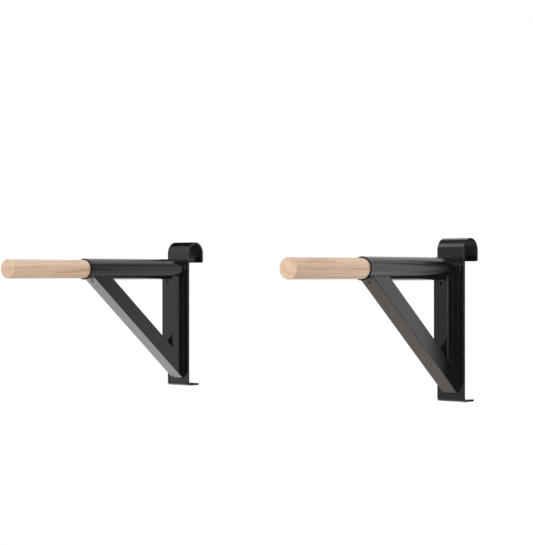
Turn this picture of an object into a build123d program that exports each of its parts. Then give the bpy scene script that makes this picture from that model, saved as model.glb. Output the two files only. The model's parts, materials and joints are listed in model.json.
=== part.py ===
from build123d import *
import math
import os

# A pair of hook-on dip bars for gymnastic wall bars, in millimetres.
# The origin is the centre of the left bar's hook, which is the axis of the rung that it hangs on.
# +X runs along that rung to the right bar, +Y runs from the user into the wall, and +Z is up.

# The wall bars that the pair hangs on
RUNG_D = 37.0
RUNG_PITCH = 250.0

# The pair
BAR_SPACING = 696.0

# Hook plate: one strip of flat steel, bent over the upper rung and under the lower rung
RUNG_CLEARANCE = 1.0
PLATE_WIDTH = 60.0
PLATE_T = 4.0
PLATE_EDGE_R = 0.8
PLATE_CORNER_R = 4.0
HOOK_R = RUNG_D / 2 + RUNG_CLEARANCE
HOOK_TAIL = 20.0
FOOT_GAP = 8.7
FOOT_LENGTH = 36.0
FOOT_BEND_R = 2.5
PLATE_FRONT = -(HOOK_R + PLATE_T)
FOOT_TOP = -(RUNG_PITCH + RUNG_D / 2 + FOOT_GAP)

# Sleeve: round steel tube that holds the grip
SLEEVE_D = 42.4
SLEEVE_WALL = 2.6
SLEEVE_LENGTH = 274.0
SLEEVE_Z = -34.0
SLEEVE_LIP_R = 0.3
SLEEVE_UNDERSIDE = SLEEVE_Z - SLEEVE_D / 2

# Square tube of the upright and the brace
TUBE = 32.0
TUBE_WALL = 2.0
TUBE_CORNER_R = 1.2
BORE_CORNER_R = 0.5

# Brace: from the foot of the plate up to the sleeve, cut from a longer piece of tube
BRACE_ANGLE = 39.7
BRACE_HEEL_Z = -266.6
BRACE_STOCK = 400.0

# Vent holes that let the sealed tubes breathe while they are welded and coated
VENT_D = 5.0
VENT_SETBACK = 5.5
VENT_DRILL = 3 * TUBE_WALL

# Grip: turned beech rod, pushed to the bottom of the sleeve
GRIP_D = 37.0
GRIP_REACH = 202.0
GRIP_CHAMFER = 1.0
GRIP_LENGTH = SLEEVE_LENGTH + GRIP_REACH

# Countersunk wood screw through the underside of the sleeve into the grip
SCREW_SETBACK = 58.0
SCREW_Y = PLATE_FRONT - SCREW_SETBACK
SCREW_HEAD_D = 8.0
SCREW_HEAD_H = 2.4
SCREW_SHANK_D = 4.0
SCREW_LENGTH = 25.0
SCREW_TIP = 3.0
SCREW_POINT_D = 0.5
SCREW_HOLE_CLEARANCE = 0.1
SCREW_RECESS_D = 4.0
SCREW_RECESS_W = 0.8
SCREW_RECESS_H = 1.4
SCREW_SINK = 0.5

# How far a round cutter runs past the end of the sleeve
CUTTER_OVERRUN = 200.0

# Lengths closer than this count as equal
SAME_LENGTH = 0.01


def strip_path():
    """Middle line of the hook plate's bent strip, from the hook's tail to the tip of the foot."""
    mid = HOOK_R + PLATE_T / 2
    bend = FOOT_BEND_R + PLATE_T / 2
    foot = FOOT_TOP - PLATE_T / 2
    tail = Edge.make_line((mid, -HOOK_TAIL), (mid, 0))
    hook = Edge.make_circle(mid, start_angle=0, end_angle=180)
    back = Edge.make_line((-mid, 0), (-mid, foot + bend))
    turn = Edge.make_circle(bend, Plane((bend - mid, foot + bend)), start_angle=180, end_angle=270)
    sole = Edge.make_line((bend - mid, foot), (PLATE_FRONT + FOOT_LENGTH, foot))
    return Curve() + [tail, hook, back, turn, sole]


def edges_of_length(solid, length):
    """The solid's edges that are this long."""
    return ShapeList([edge for edge in solid.edges() if abs(edge.length - length) < SAME_LENGTH])


def hook_plate():
    """Flat strip bent into a hook at the top and a foot at the bottom, with every edge broken."""
    section = Plane.YZ * trace(strip_path(), line_width=PLATE_T)
    plate = extrude(section, amount=PLATE_WIDTH / 2, both=True)
    plate = fillet(edges_of_length(plate, PLATE_T), radius=PLATE_CORNER_R)
    bend_lines = edges_of_length(plate, PLATE_WIDTH)
    corner_lines = edges_of_length(plate, PLATE_T)
    rim = [edge for edge in plate.edges() if edge not in bend_lines + corner_lines]
    return fillet(ShapeList(rim), radius=PLATE_EDGE_R)


def along_y(radius, length, start_y, z):
    """Solid cylinder whose axis runs along -Y from start_y."""
    return extrude(Plane((0, start_y, z), z_dir=(0, -1, 0)) * Circle(radius), amount=length)


def countersink(clearance):
    """Outline of the screw's head, opening downwards at the underside of the sleeve."""
    top = SLEEVE_UNDERSIDE + SCREW_SINK + SCREW_HEAD_H
    cone = Cone(SCREW_HEAD_D / 2 + clearance, SCREW_SHANK_D / 2 + clearance, SCREW_HEAD_H)
    return Pos(0, SCREW_Y, top - SCREW_HEAD_H / 2) * cone


def screw_entry(clearance):
    """Straight mouth of the countersink, which sinks the head below the sleeve's surface."""
    return Pos(0, SCREW_Y, SLEEVE_UNDERSIDE) * Cylinder(SCREW_HEAD_D / 2 + clearance, 2 * SCREW_SINK)


def screw_shank(length, clearance):
    """Cylinder on the screw's axis, upwards from the top of the countersink."""
    top = SLEEVE_UNDERSIDE + SCREW_SINK + SCREW_HEAD_H
    return Pos(0, SCREW_Y, top + length / 2) * Cylinder(SCREW_SHANK_D / 2 + clearance, length)


def sleeve_tube():
    """Round tube welded square to the plate, with a rounded lip at its open mouth."""
    tube = along_y(SLEEVE_D / 2, SLEEVE_LENGTH, PLATE_FRONT, SLEEVE_Z)
    tube -= along_y(SLEEVE_D / 2 - SLEEVE_WALL, SLEEVE_LENGTH, PLATE_FRONT, SLEEVE_Z)
    mouth = tube.faces().sort_by(Axis.Y)[0]
    tube = fillet(mouth.edges(), radius=SLEEVE_LIP_R)
    tube -= countersink(SCREW_HOLE_CLEARANCE) + screw_entry(SCREW_HOLE_CLEARANCE)
    return tube - screw_shank(SLEEVE_WALL, SCREW_HOLE_CLEARANCE)


def square_tube(plane, length):
    """Length of square tube with rounded corners, centred on the plane's origin."""
    bore = TUBE - 2 * TUBE_WALL
    outside = RectangleRounded(TUBE, TUBE, TUBE_CORNER_R)
    inside = RectangleRounded(bore, bore, BORE_CORNER_R)
    return extrude(plane * (outside - inside), amount=length)


def brace_direction():
    """Unit vector up the brace, away from the wall."""
    angle = math.radians(BRACE_ANGLE)
    return Vector(0, -math.cos(angle), math.sin(angle))


def brace_normal():
    """Unit vector square to the brace, upwards out of its top face."""
    angle = math.radians(BRACE_ANGLE)
    return Vector(0, math.sin(angle), math.cos(angle))


def brace_tube():
    """Square tube, mitred to the plate at its heel and coped to the underside of the sleeve."""
    heel = Vector(0, PLATE_FRONT, BRACE_HEEL_Z)
    start = heel + brace_normal() * (TUBE / 2) - brace_direction() * TUBE
    plane = Plane(start, x_dir=(1, 0, 0), z_dir=brace_direction())
    brace = square_tube(plane, BRACE_STOCK)
    brace = split(brace, Plane((0, PLATE_FRONT, 0), z_dir=(0, -1, 0)), keep=Keep.TOP)
    brace = split(brace, Plane((0, 0, SLEEVE_Z), z_dir=(0, 0, -1)), keep=Keep.TOP)
    brace -= along_y(SLEEVE_D / 2, SLEEVE_LENGTH + CUTTER_OVERRUN, PLATE_FRONT, SLEEVE_Z)
    return brace - brace_vent()


def brace_vent():
    """Drill through the brace's lower wall, a little below where it meets the sleeve."""
    rise = SLEEVE_UNDERSIDE - BRACE_HEEL_Z
    up = rise / math.sin(math.radians(BRACE_ANGLE)) - VENT_SETBACK
    spot = Vector(0, PLATE_FRONT, BRACE_HEEL_Z) + brace_direction() * up
    start = spot - brace_normal() * TUBE_WALL
    plane = Plane(start, x_dir=(1, 0, 0), z_dir=brace_normal())
    return extrude(plane * Circle(VENT_D / 2), amount=VENT_DRILL)


def upright_tube():
    """Square tube against the plate, coped to the sleeve above and standing on the brace below."""
    middle_y = PLATE_FRONT - TUBE / 2
    upright = square_tube(Plane((0, middle_y, BRACE_HEEL_Z)), SLEEVE_Z - BRACE_HEEL_Z)
    brace_top = Vector(0, PLATE_FRONT, BRACE_HEEL_Z) + brace_normal() * TUBE
    upright = split(upright, Plane(brace_top, z_dir=brace_normal()), keep=Keep.TOP)
    upright -= along_y(SLEEVE_D / 2, SLEEVE_LENGTH, PLATE_FRONT, SLEEVE_Z)
    inside_front = PLATE_FRONT - TUBE + 2 * TUBE_WALL
    return upright - along_y(VENT_D / 2, VENT_DRILL, inside_front, SLEEVE_UNDERSIDE - VENT_SETBACK)


def wooden_grip():
    """Beech rod with a chamfered free end and a pilot hole for the screw."""
    rod = along_y(GRIP_D / 2, GRIP_LENGTH, PLATE_FRONT, SLEEVE_Z)
    free_end = rod.faces().sort_by(Axis.Y)[0]
    rod = chamfer(free_end.edges(), length=GRIP_CHAMFER)
    return rod - countersink(0) - screw_shank(SCREW_LENGTH - SCREW_HEAD_H, 0)


def grip_screw():
    """Countersunk wood screw with a cross recess and a pointed tip."""
    straight = SCREW_LENGTH - SCREW_HEAD_H - SCREW_TIP
    tip_z = SLEEVE_UNDERSIDE + SCREW_SINK + SCREW_HEAD_H + straight + SCREW_TIP / 2
    tip = Pos(0, SCREW_Y, tip_z) * Cone(SCREW_SHANK_D / 2, SCREW_POINT_D / 2, SCREW_TIP)
    screw = countersink(0) + screw_shank(straight, 0) + tip
    recess_z = SLEEVE_UNDERSIDE + SCREW_SINK + SCREW_RECESS_H / 2
    slot = Box(SCREW_RECESS_D, SCREW_RECESS_W, SCREW_RECESS_H)
    cross = slot + Rot(0, 0, 90) * slot
    return screw - Pos(0, SCREW_Y, recess_z) * cross


PIECES = {
    "hook_plate": hook_plate,
    "sleeve_tube": sleeve_tube,
    "upright_tube": upright_tube,
    "brace_tube": brace_tube,
    "wooden_grip": wooden_grip,
    "grip_screw": grip_screw,
}
SIDES = {"left": 0.0, "right": BAR_SPACING}


def build():
    os.makedirs("parts", exist_ok=True)
    for piece, make in PIECES.items():
        shape = make()
        for side, x in SIDES.items():
            export_step(Pos(x, 0, 0) * shape, f"parts/{side}_{piece}.step")


build()
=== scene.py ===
import json
import math

import bmesh
import bpy
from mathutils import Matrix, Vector


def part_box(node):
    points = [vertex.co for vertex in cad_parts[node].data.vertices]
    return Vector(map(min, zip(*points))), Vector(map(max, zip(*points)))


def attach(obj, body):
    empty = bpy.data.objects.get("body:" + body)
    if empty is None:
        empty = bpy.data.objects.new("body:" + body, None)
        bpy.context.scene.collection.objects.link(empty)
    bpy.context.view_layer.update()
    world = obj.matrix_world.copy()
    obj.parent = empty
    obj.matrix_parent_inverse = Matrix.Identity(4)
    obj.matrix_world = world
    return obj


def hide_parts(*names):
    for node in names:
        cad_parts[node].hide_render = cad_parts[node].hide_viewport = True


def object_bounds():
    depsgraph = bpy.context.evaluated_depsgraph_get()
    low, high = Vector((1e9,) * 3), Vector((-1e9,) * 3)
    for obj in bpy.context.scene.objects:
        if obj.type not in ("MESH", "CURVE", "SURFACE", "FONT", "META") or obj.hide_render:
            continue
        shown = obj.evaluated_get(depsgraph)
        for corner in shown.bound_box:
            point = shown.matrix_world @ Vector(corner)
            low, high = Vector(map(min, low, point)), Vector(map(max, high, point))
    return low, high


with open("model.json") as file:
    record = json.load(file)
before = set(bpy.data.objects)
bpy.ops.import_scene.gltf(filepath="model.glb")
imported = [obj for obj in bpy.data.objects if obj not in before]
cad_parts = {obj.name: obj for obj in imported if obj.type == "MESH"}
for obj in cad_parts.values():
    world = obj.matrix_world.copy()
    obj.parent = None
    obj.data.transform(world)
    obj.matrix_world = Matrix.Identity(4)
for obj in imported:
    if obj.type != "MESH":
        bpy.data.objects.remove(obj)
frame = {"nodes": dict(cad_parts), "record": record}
cad_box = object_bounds()

# All sizes are in metres. The pieces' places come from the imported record's mounts and the CAD nodes' boxes.
# The camera and the lights are placed from the hooks.
# +X runs along the rungs to the right bar, +Y runs into the wall, and +Z is up.
MM = 0.001
SIDES = ("left", "right")
STEEL_PIECES = ("hook_plate", "sleeve_tube", "upright_tube", "brace_tube")
MOUNTS = {mount["name"]: mount for mount in frame["record"]["mounts"]}
HOOKS = {side: Vector(MOUNTS[f"{side}_rung_hook"]["pos_m"]) for side in SIDES}
MIDDLE = (HOOKS["left"] + HOOKS["right"]) / 2


# ---------------------------------------------------------------- camera

LENS_MM = 109.4
SENSOR_MM = 36.0
CAMERA_OFFSET = Vector((2.0777, -2.5958, -0.0409))
CAMERA_HEADING = math.radians(40.257)
LEVEL = math.radians(90)


def make_camera():
    """A long lens, level and about as high as the grips, in front of the pair and to its right."""
    data = bpy.data.cameras.new("camera")
    data.lens = LENS_MM
    data.sensor_width = SENSOR_MM
    camera = bpy.data.objects.new("camera", data)
    camera.location = MIDDLE + CAMERA_OFFSET
    camera.rotation_euler = (LEVEL, 0, CAMERA_HEADING)
    bpy.context.scene.collection.objects.link(camera)
    bpy.context.scene.camera = camera


make_camera()


# ---------------------------------------------------------------- measures of one bar

class Bar:
    """The sizes of one bar, read from its CAD nodes, that the grip and the welds are built to."""

    def __init__(self, side):
        self.side = side
        self.body = f"{side}_bar"
        self.x = HOOKS[side].x
        low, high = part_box(f"{side}_sleeve_tube")
        self.sleeve_r = (high.x - low.x) / 2
        self.axis_z = (low.z + high.z) / 2
        self.plate_y = high.y
        low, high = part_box(f"{side}_upright_tube")
        self.tube = high.x - low.x
        self.upright_foot_z = low.z
        self.heel_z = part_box(f"{side}_brace_tube")[0].z
        self.brace_angle = math.acos(self.tube / (self.upright_foot_z - self.heel_z))
        low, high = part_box(f"{side}_wooden_grip")
        self.grip_r = (high.x - low.x) / 2
        self.grip_end_y = low.y

    def sleeve_underside(self, x):
        """Height of the sleeve's underside at this distance to the side of its axis."""
        return self.axis_z - math.sqrt(self.sleeve_r ** 2 - x ** 2)


# ---------------------------------------------------------------- material helpers

def new_material(name):
    """A material with one Principled shader, and functions that add nodes to it and link them."""
    material = bpy.data.materials.new(name)
    material.use_nodes = True
    tree = material.node_tree
    tree.nodes.clear()
    shader = tree.nodes.new("ShaderNodeBsdfPrincipled")
    output = tree.nodes.new("ShaderNodeOutputMaterial")
    tree.links.new(shader.outputs["BSDF"], output.inputs["Surface"])
    return material, shader, node_maker(tree), tree.links.new


def node_maker(tree):
    """A function that adds a node with its settings, and with its inputs linked or set."""
    def node(kind, inputs=(), **settings):
        made = tree.nodes.new("ShaderNode" + kind)
        for key, value in settings.items():
            setattr(made, key, value)
        for key, value in dict(inputs).items():
            if isinstance(value, bpy.types.NodeSocket):
                tree.links.new(value, made.inputs[key])
            else:
                made.inputs[key].default_value = value
        return made
    return node


def grey(value):
    """A grey of this brightness."""
    return (value, value, value)


def calc(node, operation, a, b=0.0):
    """The output of a Math node."""
    return node("Math", {0: a, 1: b}, operation=operation).outputs[0]


def ramp(node, value, *stops):
    """The colours of (position, colour) stops, blended smoothly."""
    made = node("ValToRGB", {"Fac": value})
    band = made.color_ramp
    band.interpolation = "EASE"
    while len(band.elements) < len(stops):
        band.elements.new(0.5)
    for element, (position, colour) in zip(band.elements, stops):
        element.position = position
        element.color = (*colour, 1.0)
    return made.outputs["Color"]


def blend(node, factor, below, above):
    """The colour above laid over the colour below, as strongly as the factor."""
    made = node("Mix", {0: factor, 6: below}, data_type="RGBA")
    made.inputs[7].default_value = (*above, 1.0)
    return made.outputs[2]


def place(node, scale=(1, 1, 1), origin=(0, 0, 0)):
    """Object coordinates about an origin, scaled along each axis."""
    moved = node("VectorMath", {0: node("TexCoord").outputs["Object"], 1: origin}, operation="SUBTRACT")
    return node("VectorMath", {0: moved.outputs[0], 1: scale}, operation="MULTIPLY").outputs[0]


def noise(node, vector, scale, detail=2.0, roughness=0.5):
    """The grey value of a Noise node."""
    sizes = {"Vector": vector, "Scale": scale, "Detail": detail, "Roughness": roughness}
    return node("TexNoise", sizes).outputs["Fac"]


def add_bump(node, shader, link, height, strength, distance, normal=None):
    """Fine relief from a height, over the shader's normal or over another one."""
    inputs = {"Height": height, "Strength": strength, "Distance": distance}
    if normal:
        inputs["Normal"] = normal
    link(node("Bump", inputs).outputs["Normal"], shader.inputs["Normal"])


# ---------------------------------------------------------------- materials

# How many clouds, pebbles and grains there are in a metre of the coat
CLOUDS = 16.0
PEBBLES = 1000.0
GRAINS = 1700.0

COAT_EDGE_R = 0.6 * MM
COAT_RELIEF = 0.05 * MM
SCUFF_FADE = 3.0 * MM
# How far along a sleeve the painted shadow at its mouth fades out
MOUTH_FADE = 1.4 * MM


def edge_wear(node, rounded, cloud):
    """Where the coat is worn thin: patches along the edges, which are where the rounded normal turns away."""
    flat = node("NewGeometry").outputs["Normal"]
    turn = node("VectorMath", {0: rounded, 1: flat}, operation="DOT_PRODUCT").outputs["Value"]
    edge = ramp(node, turn, (0.72, grey(1)), (0.97, grey(0)))
    return calc(node, "MULTIPLY", edge, ramp(node, cloud, (0.42, grey(0.1)), (0.70, grey(0.9))))


def rung_scuff(node, cloud, hook, hook_r):
    """How much the rung has dulled the coat: in patches on the hook's inside, and not a little way out."""
    out = place(node, (0, 1, 1), hook)
    radius = node("VectorMath", {0: out}, operation="LENGTH").outputs["Value"]
    depth = calc(node, "DIVIDE", calc(node, "SUBTRACT", radius, hook_r), SCUFF_FADE)
    inside = ramp(node, depth, (0.0, grey(1)), (1.0, grey(0)))
    return calc(node, "MULTIPLY", inside, ramp(node, cloud, (0.30, grey(0.18)), (0.72, grey(0.42))))


def painted_mouth_shadow(node, mouth_y):
    """Painted shadow in the gap at a sleeve's mouth: its cut end made black metal, from 1 on its end face to
    0 a little way along it.
    """
    along = node("SeparateXYZ", {"Vector": place(node, origin=(0, mouth_y, 0))}).outputs["Y"]
    return ramp(node, calc(node, "DIVIDE", along, MOUTH_FADE), (0.4, grey(1)), (1.0, grey(0)))


def powder_coat(hook, hook_r, mouth_y):
    """Satin black powder coat: a pebbled skin, uneven gloss, thin edges, scuffed hooks, and painted shadow on
    the sleeves' cut ends.
    """
    material, shader, node, link = new_material("black_powder_coat")
    here = place(node)
    cloud = noise(node, here, CLOUDS, 3.0)
    pebble = noise(node, here, PEBBLES, 2.0, 0.55)
    grain = node("TexVoronoi", {"Vector": here, "Scale": GRAINS}, feature="SMOOTH_F1").outputs["Distance"]
    rounded = node("Bevel", {"Radius": COAT_EDGE_R}, samples=6).outputs["Normal"]
    skin_colour = ramp(node, pebble, (0.30, (0.0038, 0.0038, 0.0042)), (0.72, (0.0068, 0.0068, 0.0074)))
    colour = blend(node, edge_wear(node, rounded, cloud), skin_colour, (0.014, 0.014, 0.0155))
    link(colour, shader.inputs["Base Color"])
    sheen = ramp(node, cloud, (0.30, grey(0.12)), (0.72, grey(0.17)))
    gloss = calc(node, "ADD", sheen, calc(node, "MULTIPLY", pebble, 0.04))
    link(calc(node, "ADD", gloss, rung_scuff(node, cloud, hook, hook_r)), shader.inputs["Roughness"])
    # Painted shadow: the sleeves' cut ends are made black metal through Metallic, to darken the gap round the
    # grips
    link(painted_mouth_shadow(node, mouth_y), shader.inputs["Metallic"])
    height = calc(node, "ADD", pebble, calc(node, "MULTIPLY", grain, 0.5))
    add_bump(node, shader, link, height, 0.10, COAT_RELIEF, rounded)
    return material


# How many of each feature of the wood there are in a metre, across the rod, along it and across it
SWAYS = (9, 1.6, 9)
TONES = (95, 2.2, 95)
STREAKS = (230, 11, 230)
FIBRES = (1200, 24, 1200)
RAYS = (2600, 260, 900)

# Where the tree's pith lies from the rod's axis, and where the next rod is cut along the same log
PITH = Vector((0.046, 0, -0.058))
NEXT_ROD = Vector((0, 0.31, 0))
RING_PITCH = 2.9 * MM
RING_SWAY = (0.016, 0, 0.016)
WOOD_RELIEF = 0.08 * MM
EARLY_WOOD = ((0.30, (0.58, 0.42, 0.28)), (0.50, (0.69, 0.49, 0.345)), (0.72, (0.74, 0.58, 0.43)))
LATE_WOOD = (0.44, 0.265, 0.155)
DARK_FIBRE = (0.42, 0.25, 0.15)


def growth_rings(node, pith, start):
    """How late in its year the wood grew, from 0 to 1, in rings about the pith that sway along the rod."""
    here = place(node, origin=pith)
    slow = place(node, SWAYS, start)
    wander = node("TexNoise", {"Vector": slow, "Scale": 1.0, "Detail": 2.0}).outputs["Color"]
    sway = node("VectorMath", {0: wander, 1: RING_SWAY}, operation="MULTIPLY").outputs[0]
    bent = node("VectorMath", {0: here, 1: sway}, operation="ADD").outputs[0]
    across = node("VectorMath", {0: bent, 1: (1, 0, 1)}, operation="MULTIPLY").outputs[0]
    radius = node("VectorMath", {0: across}, operation="LENGTH").outputs["Value"]
    ring = calc(node, "FRACT", calc(node, "MULTIPLY", radius, 1 / RING_PITCH))
    return ramp(node, ring, (0.0, grey(0.10)), (0.55, grey(0.20)), (0.90, grey(1.0)), (1.0, grey(0.15)))


def fibre_streaks(node, start):
    """Long dark streaks on the rod's side, which fade out on its end faces."""
    streak = noise(node, place(node, STREAKS, start), 1.0, 2.0, 0.5)
    facing = node("SeparateXYZ", {"Vector": node("TexCoord").outputs["Normal"]}).outputs["Y"]
    side = ramp(node, calc(node, "ABSOLUTE", facing), (0.3, grey(1)), (0.9, grey(0.15)))
    return calc(node, "MULTIPLY", side, ramp(node, streak, (0.34, grey(0.52)), (0.48, grey(0))))


def ray_flecks(node, start):
    """Short dark flecks where the wood's rays come to the surface."""
    cells = place(node, RAYS, start)
    ray = node("TexVoronoi", {"Vector": cells, "Scale": 1.0}).outputs["Distance"]
    return ramp(node, ray, (0.05, grey(0.36)), (0.25, grey(0)))


def beech(name, origin, rod_number):
    """Straight-grained beech: growth rings about a pith outside the rod, fibre streaks and ray flecks."""
    material, shader, node, link = new_material(name)
    pith = Vector(origin) + PITH
    drift = NEXT_ROD * rod_number
    late = growth_rings(node, pith, pith + drift)
    fibre = noise(node, place(node, FIBRES, pith + drift), 1.0, 4.0, 0.6)
    tone = noise(node, place(node, TONES, pith + drift), 1.0)
    early_wood = ramp(node, tone, *EARLY_WOOD)
    ringed = blend(node, calc(node, "MULTIPLY", late, 0.26), early_wood, LATE_WOOD)
    streaked = blend(node, fibre_streaks(node, pith + drift * 2), ringed, DARK_FIBRE)
    fibrous = blend(node, ramp(node, fibre, (0.38, grey(0.26)), (0.62, grey(0))), streaked, DARK_FIBRE)
    link(blend(node, ray_flecks(node, pith + drift), fibrous, DARK_FIBRE), shader.inputs["Base Color"])
    link(ramp(node, fibre, (0.3, grey(0.50)), (0.7, grey(0.36))), shader.inputs["Roughness"])
    height = calc(node, "SUBTRACT", fibre, calc(node, "MULTIPLY", late, 0.3))
    add_bump(node, shader, link, height, 0.16, WOOD_RELIEF)
    return material


ZINC_CLOUDS = 700.0
ZINC_RELIEF = 0.03 * MM


def zinc_plate():
    """Bright zinc plate with a faint blue cast, clouded and lightly scuffed."""
    material, shader, node, link = new_material("zinc_plated_steel")
    cloud = noise(node, place(node), ZINC_CLOUDS, 4.0)
    link(ramp(node, cloud, (0.3, (0.50, 0.51, 0.53)), (0.7, (0.66, 0.67, 0.69))), shader.inputs["Base Color"])
    link(ramp(node, cloud, (0.3, grey(0.26)), (0.7, grey(0.44))), shader.inputs["Roughness"])
    add_bump(node, shader, link, cloud, 0.2, ZINC_RELIEF)
    shader.inputs["Metallic"].default_value = 1.0
    return material


def set_material(obj, material):
    """Gives a CAD node one material, without touching its mesh."""
    for slot in obj.material_slots:
        slot.link = "OBJECT"
        slot.material = material


# ---------------------------------------------------------------- mesh helpers

def add_mesh(name, points, faces, material, smooth=True):
    """A new object from points and faces, with its normals facing out."""
    mesh = bpy.data.meshes.new(name)
    mesh.from_pydata([tuple(point) for point in points], [], faces)
    work = bmesh.new()
    work.from_mesh(mesh)
    bmesh.ops.recalc_face_normals(work, faces=work.faces)
    work.to_mesh(mesh)
    work.free()
    mesh.polygons.foreach_set("use_smooth", [smooth] * len(mesh.polygons))
    mesh.materials.append(material)
    obj = bpy.data.objects.new(name, mesh)
    bpy.context.scene.collection.objects.link(obj)
    return obj


def skin(rings):
    """Points and faces that join each ring to the next, with the two ends capped."""
    count = len(rings[0])
    points = [point for ring in rings for point in ring]
    faces = []
    for i in range(len(rings) - 1):
        a = i * count
        b = a + count
        for j in range(count):
            k = (j + 1) % count
            faces.append((a + j, a + k, b + k, b + j))
    faces.append(tuple(range(count)))
    faces.append(tuple(range(len(points) - count, len(points))))
    return points, faces


# ---------------------------------------------------------------- turned grip

GRIP_SEGMENTS = 128
GRIP_CHAMFER = 1.0 * MM
GRIP_CHAMFER_ROUND = 0.35 * MM
GRIP_CROWN = 0.25 * MM
GRIP_STEP = 4.0 * MM
GRIP_WAVE = 0.02 * MM
GRIP_WAVE_TURN = 2.1
FACE_RINGS = (0.02, 0.3, 0.6, 0.8, 0.9, 0.96)


def grip_profile(radius, length):
    """(depth, radius) from the middle of the end face to the bottom of the rod."""
    flat_r = radius - GRIP_CHAMFER
    face = [(GRIP_CROWN * t ** 2, flat_r * t) for t in FACE_RINGS]
    slope = GRIP_CHAMFER_ROUND
    chamfer = [
        (GRIP_CROWN, flat_r - slope),
        (GRIP_CROWN + 0.1 * slope, flat_r - 0.3 * slope),
        (GRIP_CROWN + 0.45 * slope, flat_r + 0.3 * slope),
        (GRIP_CROWN + GRIP_CHAMFER - 0.3 * slope, radius - 0.45 * slope),
        (GRIP_CROWN + GRIP_CHAMFER + 0.3 * slope, radius - 0.1 * slope),
        (GRIP_CROWN + GRIP_CHAMFER + slope, radius),
    ]
    start = GRIP_CROWN + GRIP_CHAMFER + 2 * slope
    steps = round((length - start) / GRIP_STEP)
    rod = [(start + (length - start) * i / steps, radius + GRIP_WAVE * math.sin(GRIP_WAVE_TURN * i))
           for i in range(steps + 1)]
    return face + chamfer + rod


def turned_grip(bar, material):
    """Beech rod as it comes off the lathe: sanded end face, softened chamfer and faint turning marks."""
    angles = [2 * math.pi * i / GRIP_SEGMENTS for i in range(GRIP_SEGMENTS)]
    rings = [[(bar.x + r * math.cos(a), bar.grip_end_y + depth, bar.axis_z + r * math.sin(a)) for a in angles]
             for depth, r in grip_profile(bar.grip_r, bar.plate_y - bar.grip_end_y)]
    points, faces = skin(rings)
    grip = add_mesh(f"{bar.side}_turned_grip", points, faces, material)
    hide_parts(f"{bar.side}_wooden_grip")
    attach(grip, bar.body)


# ---------------------------------------------------------------- weld beads

BEAD_R = 0.8 * MM
BEAD_SIDES = 12
BEAD_STEP = 0.5 * MM
BEAD_TAPER = 2.5 * MM
RIPPLE_PITCH = 1.9 * MM
RIPPLE_DEPTH = 0.12
RIPPLE_MEAN = 0.6
BEAD_DRIFT = 0.04
DRIFT_TURN = 0.37
DRIFT_SWAY = 1.3
SWAY_TURN = 0.11
BEAD_TIP = 0.3
TUBE_CORNER_R = 1.2 * MM
SEAM_INSET = 0.5 * MM
FLUSH_INSET = 1.1 * MM
ARC_STEPS = 6
SLEEVE_RING_STEPS = 60


def even_points(path):
    """Points a bead's step apart along a path."""
    points = [Vector(point) for point in path]
    spans = [(b - a).length for a, b in zip(points, points[1:])]
    count = round(sum(spans) / BEAD_STEP)
    even = []
    span = 0
    passed = 0.0
    for k in range(count + 1):
        target = sum(spans) * k / count
        while span < len(spans) - 1 and passed + spans[span] < target:
            passed += spans[span]
            span += 1
        even.append(points[span].lerp(points[span + 1], min(1.0, (target - passed) / spans[span])))
    return even


def bead_radius(i, last):
    """Radius at step i of a bead: rippled by its puddles, a little uneven, and tapered at both ends."""
    puddle = abs(math.sin(math.pi * i * BEAD_STEP / RIPPLE_PITCH)) - RIPPLE_MEAN
    drift = math.sin(DRIFT_TURN * i + DRIFT_SWAY * math.sin(SWAY_TURN * i))
    end = min(1.0, BEAD_TIP + (1 - BEAD_TIP) * min(i, last - i) * BEAD_STEP / BEAD_TAPER)
    return BEAD_R * end * (1 + RIPPLE_DEPTH * puddle + BEAD_DRIFT * drift)


def weld_bead(bar, name, path, up, material):
    """A weld along a seam, half buried in the two pieces that it joins. The path never runs along up."""
    points = even_points(path)
    last = len(points) - 1
    rings = []
    for i, centre in enumerate(points):
        along = (points[min(i + 1, last)] - points[max(i - 1, 0)]).normalized()
        out = (up - along * up.dot(along)).normalized()
        across = along.cross(out)
        r = bead_radius(i, last)
        turns = [2 * math.pi * j / BEAD_SIDES for j in range(BEAD_SIDES)]
        rings.append([centre + (out * math.cos(a) + across * math.sin(a)) * r for a in turns])
    bead = add_mesh(f"{bar.side}_{name}_weld", *skin(rings), material)
    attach(bead, bar.body)


def corner(u, v, start):
    """Quarter turn round one corner of a square tube's outline, centred on (u, v), from a start angle."""
    turns = [math.radians(start + 90 * k / ARC_STEPS) for k in range(ARC_STEPS + 1)]
    return [(u + TUBE_CORNER_R * math.cos(a), v + TUBE_CORNER_R * math.sin(a)) for a in turns]


def front_outline(tube, inset):
    """(u, v) down one side of a square tube's outline, across the face v = 0, and up the other side."""
    side = tube / 2 - inset
    flat = side - TUBE_CORNER_R
    right = corner(flat, TUBE_CORNER_R, -90)[::-1]
    left = corner(-flat, TUBE_CORNER_R, 180)[::-1]
    return [(side, tube), *right, *left, (-side, tube)]


def whole_outline(tube):
    """(u, v) once round a square tube's outline, from the middle of the face v = 0."""
    flat = tube / 2 - TUBE_CORNER_R
    far = tube - TUBE_CORNER_R
    turns = [(flat, TUBE_CORNER_R, -90), (flat, far, 0), (-flat, far, 90), (-flat, TUBE_CORNER_R, 180)]
    return [(0, 0), *(point for turn in turns for point in corner(*turn)), (0, 0)]


def finer(outline):
    """An outline with points a bead's step apart, so that it can follow a curved surface."""
    return [(point.x, point.y) for point in even_points([(u, v, 0) for u, v in outline])]


def saddle(bar, toe, angle, outline):
    """Where a square tube that rises at this angle, with the face v = 0 over its toe, meets the sleeve."""
    seam = []
    for u, v in finer(outline):
        z = bar.sleeve_underside(u)
        climb = (z - toe.z - v * math.cos(angle)) / math.sin(angle)
        seam.append((bar.x + u, toe.y + v * math.sin(angle) - climb * math.cos(angle), z))
    return seam


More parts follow.
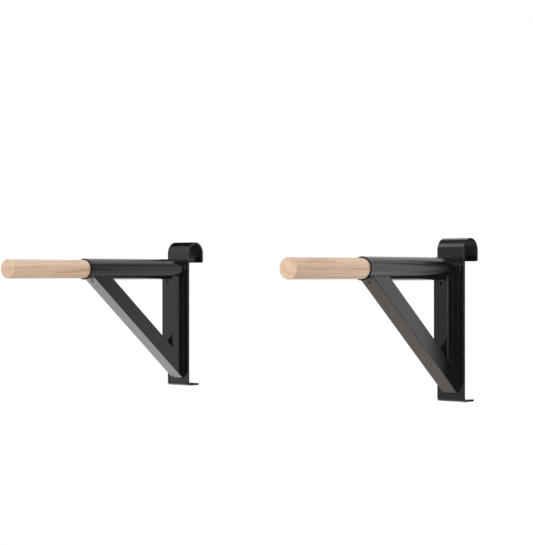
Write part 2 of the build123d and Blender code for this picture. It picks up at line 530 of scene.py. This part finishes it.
def sleeve_ring(bar):
    """Where the sleeve meets the plate, from one side of the upright over the top to the other."""
    reach = math.asin((bar.tube / 2 - SEAM_INSET) / bar.sleeve_r) - math.pi / 2
    turns = [reach + (math.pi - 2 * reach) * k / SLEEVE_RING_STEPS for k in range(SLEEVE_RING_STEPS + 1)]
    return [(bar.x + bar.sleeve_r * math.cos(a), bar.plate_y, bar.axis_z + bar.sleeve_r * math.sin(a))
            for a in turns]


def plate_seam(bar):
    """Where the upright and the brace's heel meet the plate: down one side, under the heel and up again."""
    outline = front_outline(bar.tube, SEAM_INSET)[1:-1]
    top = bar.sleeve_underside(bar.tube / 2)
    heel = [(bar.x + u, bar.plate_y - SEAM_INSET, bar.heel_z + v / math.cos(bar.brace_angle))
            for u, v in outline]
    side = bar.tube / 2 - SEAM_INSET
    ends = [(bar.x + x, bar.plate_y - SEAM_INSET, top) for x in (side, -side)]
    return [ends[0], *heel, ends[1]]


def foot_seam(bar):
    """Where the upright stands on the brace."""
    front_y = bar.plate_y - bar.tube
    rise = math.tan(bar.brace_angle)
    return [(bar.x + u, front_y + v, bar.upright_foot_z + (bar.tube - v) * rise)
            for u, v in front_outline(bar.tube, FLUSH_INSET)]


def add_welds(bar, material):
    """Every seam of one bar's frame."""
    y_axis = Vector((0, 1, 0))
    z_axis = Vector((0, 0, 1))
    upright_toe = Vector((bar.x, bar.plate_y - bar.tube, bar.upright_foot_z))
    brace_toe = Vector((bar.x, bar.plate_y, bar.heel_z))
    upright_top = saddle(bar, upright_toe, math.pi / 2, front_outline(bar.tube, SEAM_INSET))
    brace_top = saddle(bar, brace_toe, bar.brace_angle, whole_outline(bar.tube))
    weld_bead(bar, "sleeve_to_plate", sleeve_ring(bar), y_axis, material)
    weld_bead(bar, "frame_to_plate", plate_seam(bar), y_axis, material)
    weld_bead(bar, "upright_to_sleeve", upright_top, z_axis, material)
    weld_bead(bar, "brace_to_sleeve", brace_top, z_axis, material)
    weld_bead(bar, "upright_to_brace", foot_seam(bar), z_axis, material)


# ---------------------------------------------------------------- build

mouth_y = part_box("left_sleeve_tube")[0].y
coat = powder_coat(HOOKS["left"], MOUNTS["left_rung_hook"]["dims"]["r_mm"] * MM, mouth_y)
zinc = zinc_plate()
for number, side in enumerate(SIDES):
    bar = Bar(side)
    for piece in STEEL_PIECES:
        set_material(frame["nodes"][f"{side}_{piece}"], coat)
    set_material(frame["nodes"][f"{side}_grip_screw"], zinc)
    turned_grip(bar, beech(f"beech_{side}", (bar.x, 0, bar.axis_z), number))
    add_welds(bar, coat)


# ---------------------------------------------------------------- studio

FLOOR_DROP = 1.25
FLOOR_R = 2.6
FLOOR_SIDES = 96

# The black cards' places from the two hooks
CARD_X = {"left": -0.045, "right": 0.054}
CARD_Y = (-0.02, 0.15)
CARD_Z = (-0.30, 0.17)

# Directions in which the surround's light is brighter or darker
BEHIND = (0, 1, 0)
OVERHEAD = (0, -0.2, 1)
RIGHT_FLAG = (0.646, 0.763, 0.10)
LEFT_FLAG = (-0.646, 0.106, 0.756)
LOW_FLAG = (-0.07, 0.763, -0.64)

WHITE = (1, 1, 1)
WARM = (1.0, 0.55, 0.32)


def make_floor():
    """A round pale floor, well below the pair, that fades out into the white surround."""
    material, shader, node, link = new_material("pale_floor")
    cloud = noise(node, place(node), 3.0)
    link(ramp(node, cloud, (0.3, (0.80, 0.78, 0.76)), (0.7, (0.84, 0.82, 0.80))), shader.inputs["Base Color"])
    shader.inputs["Roughness"].default_value = 0.7
    shader.inputs["Specular IOR Level"].default_value = 0.2
    out = node("VectorMath", {0: place(node, (1, 1, 0), MIDDLE)}, operation="LENGTH").outputs["Value"]
    reach = calc(node, "DIVIDE", out, FLOOR_R)
    link(ramp(node, reach, (0.0, grey(1)), (1.0, grey(0))), shader.inputs["Alpha"])
    z = cad_box[0][2] - FLOOR_DROP
    turns = [2 * math.pi * k / FLOOR_SIDES for k in range(FLOOR_SIDES)]
    edge = [(MIDDLE.x + FLOOR_R * math.cos(a), MIDDLE.y + FLOOR_R * math.sin(a), z) for a in turns]
    floor = add_mesh("floor", edge, [tuple(range(FLOOR_SIDES))], material, smooth=False)


def make_cards():
    """Black cards beside the two plates, seen only in reflections, as wall bars' dark uprights would be."""
    material, shader, node, link = new_material("black_card")
    shade = noise(node, place(node), 12.0)
    link(ramp(node, shade, (0.3, grey(0.004)), (0.7, grey(0.008))), shader.inputs["Base Color"])
    shader.inputs["Roughness"].default_value = 0.9
    shader.inputs["Specular IOR Level"].default_value = 0.0
    for side, x in CARD_X.items():
        corners = [HOOKS[side] + Vector((x, y, z)) for y in CARD_Y for z in CARD_Z]
        card = add_mesh(f"{side}_black_card", corners, [(0, 1, 3, 2)], material, smooth=False)
        card.visible_camera = False
        card.visible_diffuse = False
        card.visible_shadow = False


def toward(node, way, direction, dim, bright, low, high):
    """A factor that goes from low to high as the light's way turns towards a direction.

    dim and bright are the cosines of the angles from that direction at which it is low and high.
    """
    aim = Vector(direction).normalized()
    turn = node("VectorMath", {0: way, 1: aim}, operation="DOT_PRODUCT").outputs["Value"]
    span = {"Value": turn, "From Min": dim, "From Max": bright, "To Min": low, "To Max": high}
    factor = node("MapRange", span)
    factor.interpolation_type = "SMOOTHSTEP"
    return factor.outputs["Result"]


def make_world():
    """White surround to the camera. As a light it is brightest overhead and behind, with dark patches."""
    world = bpy.data.worlds.new("studio")
    world.use_nodes = True
    tree = world.node_tree
    tree.nodes.clear()
    node = node_maker(tree)
    way = node("TexCoord").outputs["Generated"]
    behind = toward(node, way, BEHIND, -0.15, 0.35, 0.58, 1.0)
    overhead = toward(node, way, OVERHEAD, 0.3, 1.0, 1.0, 1.6)
    right_flag = toward(node, way, RIGHT_FLAG, 0.78, 0.94, 1.0, 0.10)
    left_flag = toward(node, way, LEFT_FLAG, 0.93, 0.985, 1.0, 0.10)
    low_flag = toward(node, way, LOW_FLAG, 0.955, 0.985, 1.0, 0.0)
    flags = calc(node, "MULTIPLY", calc(node, "MULTIPLY", right_flag, left_flag), low_flag)
    glow = calc(node, "MULTIPLY", calc(node, "MULTIPLY", behind, overhead), flags)
    seen = node("LightPath").outputs["Is Camera Ray"]
    strength = calc(node, "MAXIMUM", glow, seen)
    surround = node("Background", {"Color": (1, 1, 1, 1), "Strength": strength})
    output = tree.nodes.new("ShaderNodeOutputWorld")
    tree.links.new(surround.outputs["Background"], output.inputs["Surface"])
    bpy.context.scene.world = world


def make_softbox(name, centre, target, size, radiance, colour=WHITE):
    """A soft rectangular light that the camera doesn't see, aimed at a target."""
    data = bpy.data.lights.new(name, "AREA")
    data.shape = "RECTANGLE"
    data.size, data.size_y = size
    data.energy = radiance * math.pi * size[0] * size[1]
    data.color = colour
    light = bpy.data.objects.new(name, data)
    light.location = centre
    light.rotation_euler = (target - centre).to_track_quat("-Z", "Y").to_euler()
    light.visible_camera = False
    bpy.context.scene.collection.objects.link(light)


def make_lights():
    """Soft boxes round the pair, placed and aimed from the two hooks and the point midway between them."""
    left = HOOKS["left"]
    right = HOOKS["right"]
    brace = Vector((0, -0.17, -0.16))
    make_softbox("low_left", left + Vector((-0.75, -0.02, -0.99)), left + brace, (0.48, 0.48), 1.65)
    make_softbox("low_middle", left + Vector((0.02, -0.02, -1.02)), right + brace, (0.48, 0.48), 0.32, WARM)
    near_aim = right + Vector((0, -0.237, -0.15))
    make_softbox("near_right", right + Vector((0.322, 0.145, -0.15)), near_aim, (0.22, 0.9), 1.3)
    far_aim = left + Vector((0.01, 0, -0.01))
    make_softbox("far_left", left + Vector((0.797, 0.877, -0.01)), far_aim, (0.58, 1.22), 0.74)
    make_softbox("key", MIDDLE + Vector((1.15, -2.72, 0.55)), MIDDLE, (1.1, 1.8), 6.4)
    make_softbox("upper_left", right + Vector((-1.29, -0.96, 1.18)), right, (0.8, 0.7), 1.8)
    high_aim = left + Vector((0, 0, 0.30))
    make_softbox("front_left", left + Vector((-0.97, -1.14, 0.30)), high_aim, (0.7, 1.9), 0.36)


make_floor()
make_cards()
make_world()
make_lights()
bpy.context.scene.view_settings.view_transform = "Standard"
